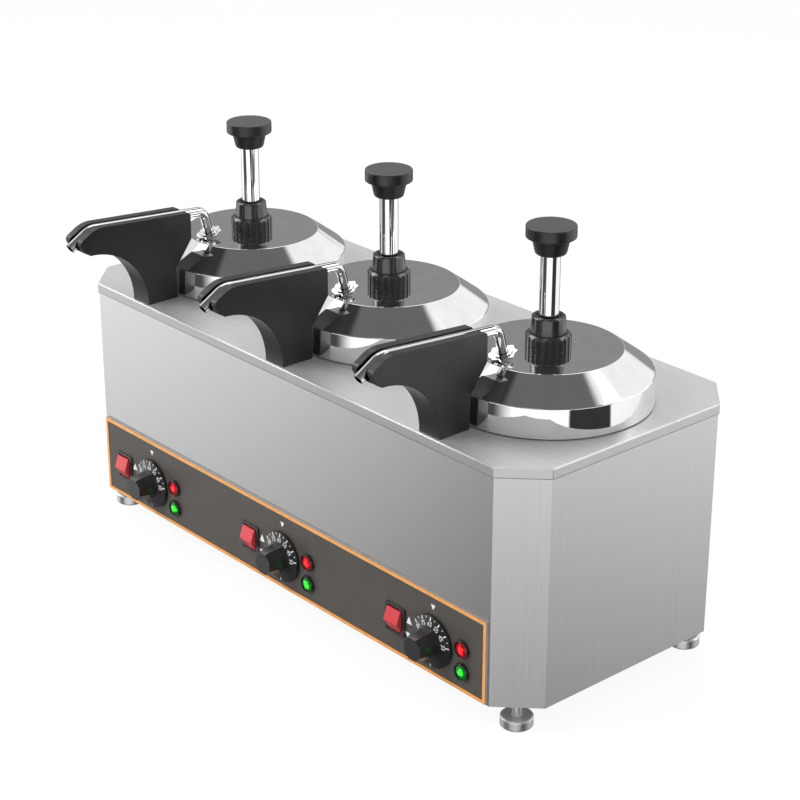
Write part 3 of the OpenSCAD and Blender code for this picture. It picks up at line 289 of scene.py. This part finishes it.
def printed_edge(name, dark, light, side, rough, face_y):
    """A printed face towards -Y at face_y, whose ink runs a little way down the bare sides; the ink there
    takes the side colour, which is darker as a painted shade.
    """
    material, tree, bsdf = new_material(name)
    cloud = noise(tree, 160.0, detail=2.0, roughness=0.5)
    printed = mix_color(tree, spread(tree, cloud, 0.15, 0.0, 1.0), dark, light)
    place = node(tree, "ShaderNodeSeparateXYZ")
    tree.links.new(object_coords(tree), place.inputs[0])
    bare = span(tree, place.outputs["Y"], *around(face_y, INK_RUNS), 0.0, 1.0)
    front = span(tree, facing(tree, "Y"), *FACES_FRONT, 1.0, 0.0)
    # the sides are painted darker than the face, a painted shade, and fade to bare grey further down
    color = mix_color(tree, front, mix_color(tree, bare, side, BARE_METAL), printed)
    feed(tree, bsdf.inputs["Base Color"], color)
    feed(tree, bsdf.inputs["Roughness"], spread(tree, cloud, 0.2, *around(rough, CLOUD_GLOSS)))
    bump(tree, bsdf, noise(tree, 1800.0, detail=2.0, roughness=0.5), 0.08, GRAIN_RELIEF)
    return material


def glow(name, centres, core, rim, strength):
    """A lit lens: an uneven bright core round each of the centres, and a dim rim."""
    radius = 5.8 * MM
    unevenness = 0.9 * radius
    core_edge = (0.40 * radius, 0.68 * radius)
    rim_share = 0.25
    material, tree, bsdf = new_material(name)
    nearest = distance_to(tree, centres[0])
    for centre in centres[1:]:
        nearest = math_node(tree, "MINIMUM", nearest, distance_to(tree, centre))
    uneven = math_node(tree, "SUBTRACT", noise(tree, 420.0, detail=1.0, roughness=0.5), 0.5)
    nearest = math_node(tree, "ADD", nearest, math_node(tree, "MULTIPLY", uneven, unevenness))
    color = mix_color(tree, span(tree, nearest, *core_edge, 0.0, 1.0), core, rim)
    feed(tree, bsdf.inputs["Base Color"], color)
    feed(tree, bsdf.inputs["Emission Color"], color)
    feed(tree, bsdf.inputs["Emission Strength"],
         span(tree, nearest, *core_edge, strength, strength * rim_share))
    bsdf.inputs["Roughness"].default_value = 0.12
    bsdf.inputs["Specular IOR Level"].default_value = 0.3
    bsdf.inputs["Coat Weight"].default_value = 0.25
    return material


def tinted_bezels(name, glow_spills):
    """Black bezels with a painted glow of the lens they hold round each centre; glow_spills pairs centres
    with the glow's colour.
    """
    glow_spill_edge = (5.6 * MM, 7.2 * MM)
    material, tree, bsdf = new_material(name)
    grain = noise(tree, 900.0, detail=2.0, roughness=0.5)
    color = mix_color(tree, grain, (0.012, 0.012, 0.013), (0.020, 0.020, 0.021))
    for centres, glow_spill in glow_spills:
        for centre in centres:
            color = mix_color(tree, span(tree, distance_to(tree, centre), *glow_spill_edge, 1.0, 0.0), color, glow_spill)
    feed(tree, bsdf.inputs["Base Color"], color)
    feed(tree, bsdf.inputs["Roughness"], spread(tree, grain, 0.2, 0.18, 0.24))
    bsdf.inputs["Specular IOR Level"].default_value = 0.8
    bump(tree, bsdf, grain, 0.05, GRAIN_RELIEF, 0.4 * MM)
    return material


# Materials of the nodes

def assign(material, *names):
    for name in names:
        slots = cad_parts[name].data.materials
        slots.clear()
        slots.append(material)


def lens_centres(name):
    """The middle of each station's lens on its front, a little to the right as in the photograph."""
    half_station, shift = 60 * MM, 0.6 * MM
    points = [vertex.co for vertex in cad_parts[name].data.vertices]
    centres = []
    for dial in every("dial"):
        beside = middle_of(dial).x
        near = [point for point in points if abs(point.x - beside) < half_station]
        xs, ys, zs = ([point[axis] for point in near] for axis in range(3))
        centres.append(Vector(((min(xs) + max(xs)) / 2 + shift, min(ys), (min(zs) + max(zs)) / 2)))
    return centres


side_steel = brushed("side_steel", 2, (0.665, 0.665, 0.67), (0.70, 0.70, 0.705), 0.23, 2600, 6, depth=0.05)
# the top plate's edges carry a painted highlight, a white line
top_steel = brushed("top_steel", 0, (0.65, 0.65, 0.655), (0.745, 0.745, 0.75), 0.42, 1800, 8, depth=0.22,
                    edge=1.4 * MM, metallic=0.6)
plain_steel = brushed("plain_steel", 0, (0.50, 0.50, 0.50), (0.62, 0.62, 0.62), 0.42, 700, 40)
# the feet's edges carry a painted highlight, a white ring
satin = brushed("satin_steel", 2, (0.74, 0.74, 0.75), (0.82, 0.82, 0.83), 0.36, 900, 60, depth=0.1,
                edge=1.8 * MM, metallic=0.8, highlight_metal=0.1)
pot_steel = brushed("pot_steel", 2, (0.56, 0.56, 0.56), (0.66, 0.66, 0.66), 0.3, 900, 20)
lid_steel = polished("lid_steel", (0.80, 0.80, 0.805), (0.86, 0.86, 0.865), 0.03, waviness=0.02)
chrome = polished("chrome", (0.84, 0.84, 0.85), (0.90, 0.90, 0.91), 0.045)
# the star nuts and spout tubes are painted darker in their crevices and slots, as painted shade
star_steel = polished("star_steel", (0.66, 0.66, 0.67), (0.72, 0.72, 0.73), 0.09, painted_shade_reach=2.2 * MM)
tube_steel = polished("tube_steel", (0.68, 0.68, 0.69), (0.75, 0.75, 0.76), 0.05, painted_shade_reach=5 * MM)
# the spout blocks' faces towards +Y are painted lighter, as painted light
coated = moulded("coated_block", (0.005, 0.005, 0.006), (0.008, 0.008, 0.009), 0.34, depth=0.2,
                 specular=0.66, edge=0.6 * MM, painted_light_face=("Y", (0.045, 0.045, 0.046)))
black_plastic = moulded("black_plastic", (0.014, 0.014, 0.015), (0.022, 0.022, 0.023), 0.19, depth=0.06,
                        specular=0.9, edge=0.5 * MM)
# the push knobs' tops are painted lighter, as painted light
knob_black = moulded("knob_black", (0.007, 0.007, 0.008), (0.011, 0.011, 0.012), 0.32, depth=0.08,
                     specular=0.6, edge=0.6 * MM, painted_light_face=("Z", (0.050, 0.050, 0.051)))
dial_black = moulded("dial_black", (0.016, 0.016, 0.017), (0.024, 0.024, 0.026), 0.24, depth=0.06, coat=0.2,
                     edge=0.4 * MM)
red_plastic = moulded("red_plastic", (0.68, 0.045, 0.058), (0.76, 0.064, 0.078), 0.24, depth=0.05, coat=0.4,
                      edge=0.4 * MM)
pale_plastic = moulded("pale_plastic", (0.70, 0.67, 0.58), (0.78, 0.75, 0.66), 0.5)
panel_face = moulded("panel_face", (0.076, 0.068, 0.060), (0.092, 0.083, 0.074), 0.42, grain=1800,
                     depth=0.15)
# the border's sides get a darker orange, a painted shade
panel_edge = printed_edge("panel_edge", (0.88, 0.39, 0.10), (0.94, 0.44, 0.13), (0.45, 0.20, 0.06), 0.34,
                          BORDER_Y)
print_white = moulded("print_white", (0.93, 0.93, 0.92), (0.97, 0.97, 0.96), 0.45, depth=0.05)

red_centres = lens_centres("red_lamp_lenses")
green_centres = lens_centres("green_lamp_lenses")
red_glow = glow("red_glow", red_centres, (0.95, 0.016, 0.022), (0.30, 0.0, 0.006), 1.15)
green_glow = glow("green_glow", green_centres, (0.022, 0.74, 0.028), (0.0, 0.13, 0.008), 1.1)
# painted red and green glow on the bezels, from the lit lenses
bezel_black = tinted_bezels("bezel_black", ((red_centres, (0.20, 0.004, 0.008)),
                                            (green_centres, (0.004, 0.09, 0.008))))

assign(side_steel, "casing")
assign(top_steel, "top_plate")
assign(plain_steel, "base_plate", "case_screws", "band_heaters", "spout_heaters", "spout_block_screws",
       *every("well"), *every("plunger_spring"))
assign(satin, "levelling_feet")
assign(pot_steel, *every("pot"))
assign(lid_steel, *every("lid"))
assign(chrome, *every("plunger_rod"))
assign(star_steel, *every("star_nut"))
assign(tube_steel, *every("spout_tube"))
assign(coated, *every("spout_block"))
assign(black_plastic, "cable_gland", "switch_frames", *every("collar_nut"), *every("guide_bush"))
assign(knob_black, *every("push_knob"))
assign(dial_black, *every("dial"))
assign(red_plastic, *every("rocker"))
assign(pale_plastic, "terminal_block", "thermostats", *every("pump_body"))
assign(panel_face, "control_panel")
assign(panel_edge, "panel_border")
assign(red_glow, "red_lamp_lenses")
assign(green_glow, "green_lamp_lenses")
assign(bezel_black, "lamp_bezels")


# Printed marks

INK = 0.06 * MM  # thickness of a mark
DIAL_SINK = 0.02 * MM  # how far below the surface that it is on a mark starts
PANEL_SINK = 0.01 * MM
WELD = 0.001 * MM  # points closer than this are one
DIAL_SHIFT = 6 * MM  # the dial, right of the station's middle
SKIRT_BACK = 0.4 * MM  # the dial's skirt, off the panel's face
GRIP_R, GRIP_H = 10.72 * MM, 4.2 * MM  # the skirt's inner edge, at the grip, and its height there
SKIRT_R, SKIRT_H = 21.87 * MM, 2.52 * MM  # the same at the rim

# The scale runs anticlockwise from just above the right, with STEP degrees of turn for each ten printed
FIRST_ANGLE = 6.5
STEP = 27.4
MAJOR = [(FIRST_ANGLE + STEP * i, str(number)) for i, number in enumerate(range(35, 86, 10))]
MAJOR_TICK = (18.3 * MM, 21.7 * MM, 0.48 * MM)  # inner and outer radius, and half the width
MINOR_TICK = (20.0 * MM, 21.4 * MM, 0.30 * MM)
OFF_TICK = (18.8 * MM, 21.5 * MM, 0.36 * MM)
OFF_ANGLE = -88  # the single tick below the scale
DIGIT_SIZE = 5.2 * MM
DIGIT_R = 15.7 * MM

# Triangles of the panel: x from the station's middle, z above the casing's bottom edge, base and height,
# which is below zero where the triangle stands on its tip
TRIANGLES = (
    (6.0 * MM, 60.4 * MM, 5.0 * MM, -4.6 * MM),
    (-21.6 * MM, 37.6 * MM, 6.6 * MM, 6.8 * MM),
    (-23.3 * MM, 24.0 * MM, 5.6 * MM, -4.6 * MM),
)


def mark_object(name, shape, body):
    bmesh.ops.recalc_face_normals(shape, faces=shape.faces[:])
    mesh = bpy.data.meshes.new(name)
    shape.to_mesh(mesh)
    shape.free()
    mesh.materials.append(print_white)
    mark = bpy.data.objects.new(name, mesh)
    bpy.context.scene.collection.objects.link(mark)
    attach(mark, body)


def add_flat(shape, outline, place):
    """A thin closed plate over an outline of (u, v) points, each side placed by place(u, v, height)."""
    up = [shape.verts.new(place(u, v, 1.0)) for u, v in outline]
    down = [shape.verts.new(place(u, v, 0.0)) for u, v in outline]
    shape.faces.new(up)
    shape.faces.new(down[::-1])
    count = len(outline)
    for i in range(count):
        shape.faces.new((up[i], down[i], down[(i + 1) % count], up[(i + 1) % count]))


def digit_mesh(text):
    """The flat mesh of some digits, round the origin."""
    curve = bpy.data.curves.new("digits", "FONT")
    curve.body = text
    curve.size = DIGIT_SIZE
    curve.align_x = "CENTER"
    curve.align_y = "CENTER"
    curve.resolution_u = 3
    holder = bpy.data.objects.new("digits", curve)
    bpy.context.scene.collection.objects.link(holder)
    bpy.context.view_layer.update()
    mesh = bpy.data.meshes.new_from_object(holder.evaluated_get(bpy.context.evaluated_depsgraph_get()))
    bpy.data.objects.remove(holder)
    bpy.data.curves.remove(curve)
    return mesh


def dial_marks(station):
    """The ticks and digits on a dial's sloping skirt, which turn with it."""
    centre = middle_of(f"dial_{station}")
    shape = bmesh.new()

    def place(u, v, height, angle):
        """A point u outwards and v sideways at an angle of the dial, and its height in the ink."""
        radius, direction = math.hypot(u, v), angle + math.atan2(v, u)
        skirt = GRIP_H + (SKIRT_H - GRIP_H) * (radius - GRIP_R) / (SKIRT_R - GRIP_R)
        y = PANEL_Y - SKIRT_BACK - skirt - height * INK + DIAL_SINK
        return Vector((centre.x + radius * math.cos(direction), y, centre.z + radius * math.sin(direction)))

    def tick(angle, inner, outer, half):
        direction = math.radians(angle)
        add_flat(shape, [(inner, -half), (outer, -half), (outer, half), (inner, half)],
                 lambda u, v, height: place(u, v, height, direction))

    def digits(angle, text):
        direction = math.radians(angle)
        flat = digit_mesh(text)
        part = bmesh.new()
        part.from_mesh(flat)
        bmesh.ops.triangulate(part, faces=part.faces[:])
        bmesh.ops.remove_doubles(part, verts=part.verts[:], dist=WELD)
        extruded = bmesh.ops.extrude_face_region(part, geom=part.faces[:])
        lifted = {item for item in extruded["geom"] if isinstance(item, bmesh.types.BMVert)}
        for vertex in part.verts:
            vertex.co = place(DIGIT_R + vertex.co.y, -vertex.co.x, 1.0 if vertex in lifted else 0.0,
                              direction)
        part.to_mesh(flat)
        part.free()
        shape.from_mesh(flat)
        bpy.data.meshes.remove(flat)

    for angle, _ in MAJOR:
        tick(angle, *MAJOR_TICK)
    for angle, _ in MAJOR[:-1]:
        tick(angle + STEP / 2, *MINOR_TICK)
    tick(OFF_ANGLE, *OFF_TICK)
    for angle, text in MAJOR:
        digits(angle, text)
    mark_object(f"dial_scale_{station}", shape, f"dial_{station}_unit")


def panel_marks(station):
    """The triangles round a dial, on the panel's face."""
    middle = middle_of(f"dial_{station}").x - DIAL_SHIFT
    shape = bmesh.new()

    def place(u, v, height):
        return Vector((middle + u, PANEL_Y - height * INK + PANEL_SINK, CASING_Z + v))

    for u, v, base, tall in TRIANGLES:
        corners = [(u - base / 2, v - tall / 2), (u + base / 2, v - tall / 2), (u, v + tall / 2)]
        add_flat(shape, corners, place)
    mark_object(f"panel_marks_{station}", shape, "body")


for station in STATIONS:
    dial_marks(station)
    panel_marks(station)


# The return springs shorten as far as the plungers go down, from their ends at the pistons; here each only
# gets a mesh of its own.
for station in STATIONS:
    spring = f"plunger_spring_{station}"
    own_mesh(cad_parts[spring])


# Floor

FLOOR_HALF = 4  # half its side, in metres
FLOOR_GLOW = 1.06  # the floor's own glow, which only the camera sees
FLOOR_GLOW_SHARE = 0.86  # of the glow in what the camera sees, the rest has the shadows

floor_mesh = bpy.data.meshes.new("floor")
floor_mesh.from_pydata([(x * FLOOR_HALF, y * FLOOR_HALF, 0)
                        for x, y in ((-1, -1), (1, -1), (1, 1), (-1, 1))],
                       [], [(0, 1, 2, 3)])
floor = bpy.data.objects.new("floor", floor_mesh)
bpy.context.scene.collection.objects.link(floor)
floor.visible_glossy = False

floor_white, tree, bsdf = new_material("floor_white")
bsdf.inputs["Roughness"].default_value = 0.9
bsdf.inputs["Specular IOR Level"].default_value = 0.1
mottle = noise(tree, 3.0, detail=2.0, roughness=0.5)
feed(tree, bsdf.inputs["Base Color"], mix_color(tree, mottle, (0.86, 0.86, 0.86), (0.90, 0.90, 0.90)))
seen = node(tree, "ShaderNodeLightPath").outputs["Is Camera Ray"]
shade = node(tree, "ShaderNodeMixShader")
tree.links.new(math_node(tree, "MULTIPLY", seen, FLOOR_GLOW_SHARE), shade.inputs[0])
tree.links.new(bsdf.outputs[0], shade.inputs[1])
own_glow = node(tree, "ShaderNodeEmission", Color=(1.0, 1.0, 1.0, 1.0), Strength=FLOOR_GLOW)
tree.links.new(own_glow.outputs[0], shade.inputs[2])
tree.links.new(shade.outputs[0], tree.nodes["Material Output"].inputs["Surface"])
floor_mesh.materials.append(floor_white)


# Studio

# What shiny surfaces see round them: a grey ceiling, a bright ground that darkens downwards, and patches of
# light and dark over them. Places in it go by elevation, and by azimuth from the direction in which the
# photograph's camera stands, above zero to the camera's right, both in degrees.
HEADING = math.radians(-41.2)  # that direction, from +X
AMBIENT = 0.55  # the even light on everything that isn't shiny

# Between two elevations, and what goes from one value to another there
CEILING = (15.0, 70.0, 0.37, 0.19)
GROUND = (-33.0, -15.0, 0.30, 1.76)
GROUND_SHARE = (6.0, 17.0, 1.0, 0.0)
BRIGHT_GROUND = 1.14  # times the ground's level, in two of the patches

world = bpy.data.worlds.new("studio")
bpy.context.scene.world = world
world.use_nodes = True
sky = world.node_tree
sky.nodes.clear()
turn = node(sky, "ShaderNodeVectorRotate", rotation_type="Z_AXIS")
turn.inputs["Angle"].default_value = -HEADING
sky.links.new(node(sky, "ShaderNodeTexCoord").outputs["Generated"], turn.inputs["Vector"])
ray = node(sky, "ShaderNodeSeparateXYZ")
sky.links.new(turn.outputs[0], ray.inputs[0])
turned = math_node(sky, "ARCTAN2", ray.outputs["Y"], ray.outputs["X"])
azimuth = math_node(sky, "MULTIPLY", turned, 180 / math.pi)
raised = math_node(sky, "ARCSINE", ray.outputs["Z"])
elevation = math_node(sky, "MULTIPLY", raised, 180 / math.pi)
either = math_node(sky, "ABSOLUTE", azimuth)


def mix_level(factor, first, second):
    made = node(sky, "ShaderNodeMix", data_type="FLOAT")
    for socket, value in ((made.inputs["Factor"], factor), (made.inputs[2], first),
                          (made.inputs[3], second)):
        feed(sky, socket, value)
    return made.outputs[0]


def between(value, low, high, soft):
    up = span(sky, value, low - soft / 2, low + soft / 2, 0.0, 1.0)
    down = span(sky, value, high - soft / 2, high + soft / 2, 1.0, 0.0)
    return math_node(sky, "MULTIPLY", up, down)


ceiling = span(sky, elevation, *CEILING)
ground = span(sky, elevation, *GROUND, smooth=False)
bright_ground = math_node(sky, "MULTIPLY", ground, BRIGHT_GROUND)

# Each patch: the angle it goes by, its reach, its elevation, its level, and how soft its edges are
PATCHES = (
    (azimuth, (94, 158), (10, 62), 1.30, 6, 6),  # right wall, in the cones' right sides and the tubes
    (azimuth, (-165, -116), (10, 54), 1.15, 6, 6),  # left wall, in the cones' left sides
    (azimuth, (-116, -96), (48, 68), 0.05, 5, 5),  # dark above it
    (either, (156, 190), (36, 66), 2.2, 8, 6),  # high at the back, in the star nuts
    (azimuth, (-125, -98), (22, 52), 6.6, 5, 5),  # the white line on the top plate's front edge
    (azimuth, (86, 112), (30, 56), 4.2, 5, 5),  # and on its end edge
    (azimuth, (-48, -8), (54, 70), 2.0, 5, 5),  # high in front
    (either, (135, 190), (-60, 8), 0.40, 8, 6),  # low at the back
    (azimuth, (-190, -152), (-60, 8), 0.10, 8, 6),  # darker still on its left
    (azimuth, (-40, 19), (-60, 4), bright_ground, 6, 4),  # in the cut corner
    (azimuth, (20, 67), (-60, 4), 0.05, 3, 4),  # the dark field in the lids' bands
    (azimuth, (-135, -90), (-60, 8), bright_ground, 6, 4),  # in the front sheet
    (azimuth, (-94.5, -50), (-60, 4), 0.09, 25, 4),  # the dark on the right end of the front sheet
)
surroundings = mix_level(span(sky, elevation, *GROUND_SHARE), ceiling, ground)
for angle, reach, height, level, soft_across, soft_up in PATCHES:
    across = between(angle, *reach, soft_across)
    area = math_node(sky, "MULTIPLY", across, between(elevation, *height, soft_up))
    surroundings = mix_level(area, surroundings, level)

# Shiny rays see the studio, the camera sees white, and all else the even light
path = node(sky, "ShaderNodeLightPath")
studio_light = node(sky, "ShaderNodeBackground")
sky.links.new(surroundings, studio_light.inputs["Strength"])
even_light = node(sky, "ShaderNodeBackground", Strength=AMBIENT)
white_light = node(sky, "ShaderNodeBackground", Color=(1.0, 1.0, 1.0, 1.0), Strength=1.0)
shiny = math_node(sky, "MAXIMUM", path.outputs["Is Glossy Ray"], path.outputs["Is Transmission Ray"])
lit = even_light.outputs[0]
for factor, other in ((shiny, studio_light), (path.outputs["Is Camera Ray"], white_light)):
    chooser = node(sky, "ShaderNodeMixShader")
    sky.links.new(factor, chooser.inputs[0])
    sky.links.new(lit, chooser.inputs[1])
    sky.links.new(other.outputs[0], chooser.inputs[2])
    lit = chooser.outputs[0]
sky.links.new(lit, node(sky, "ShaderNodeOutputWorld").inputs["Surface"])

# Lamps, which no shiny surface mirrors: place, point they face, size and watts
LAMPS = {
    "key": ((-0.9, -1.6, 1.7), (0, 0, 0.15), (1.2, 1.2), 34),
    "fill": ((1.7, 0.1, 1.2), (0, 0, 0.15), (1.2, 1.2), 9),
    "over": ((-0.2, 0.9, 1.9), (0, 0, 0.2), (1.6, 1.2), 14),
}
for name, (place, target, size, watts) in LAMPS.items():
    data = bpy.data.lights.new(name, "AREA")
    data.shape = "RECTANGLE"
    data.size, data.size_y = size
    data.energy = watts
    lamp = bpy.data.objects.new(name, data)
    lamp.location = place
    lamp.rotation_mode = "QUATERNION"
    lamp.rotation_quaternion = (Vector(target) - Vector(place)).to_track_quat("-Z", "Y")
    bpy.context.scene.collection.objects.link(lamp)
    lamp.visible_glossy = False


# Camera, fitted to the photograph's straight edges and ellipses
CAMERA_PLACE = (1.24296, -1.04888, 0.86677)
CAMERA_AZIMUTH, CAMERA_DOWN, CAMERA_ROLL = math.radians(48.840), math.radians(23.305), math.radians(0.089)
SENSOR_MM, LENS_MM = 36, 94.87

camera_data = bpy.data.cameras.new("photo_camera")
camera_data.sensor_width = SENSOR_MM
camera_data.lens = LENS_MM
camera_data.clip_start, camera_data.clip_end = 0.05, 50
camera = bpy.data.objects.new("photo_camera", camera_data)
camera.matrix_world = (Matrix.Translation(CAMERA_PLACE) @ Matrix.Rotation(CAMERA_AZIMUTH, 4, "Z")
                       @ Matrix.Rotation(math.pi / 2 - CAMERA_DOWN, 4, "X")
                       @ Matrix.Rotation(CAMERA_ROLL, 4, "Z"))
bpy.context.scene.collection.objects.link(camera)
bpy.context.scene.camera = camera
bpy.context.scene.view_settings.view_transform = "Standard"

bpy.context.view_layer.update()
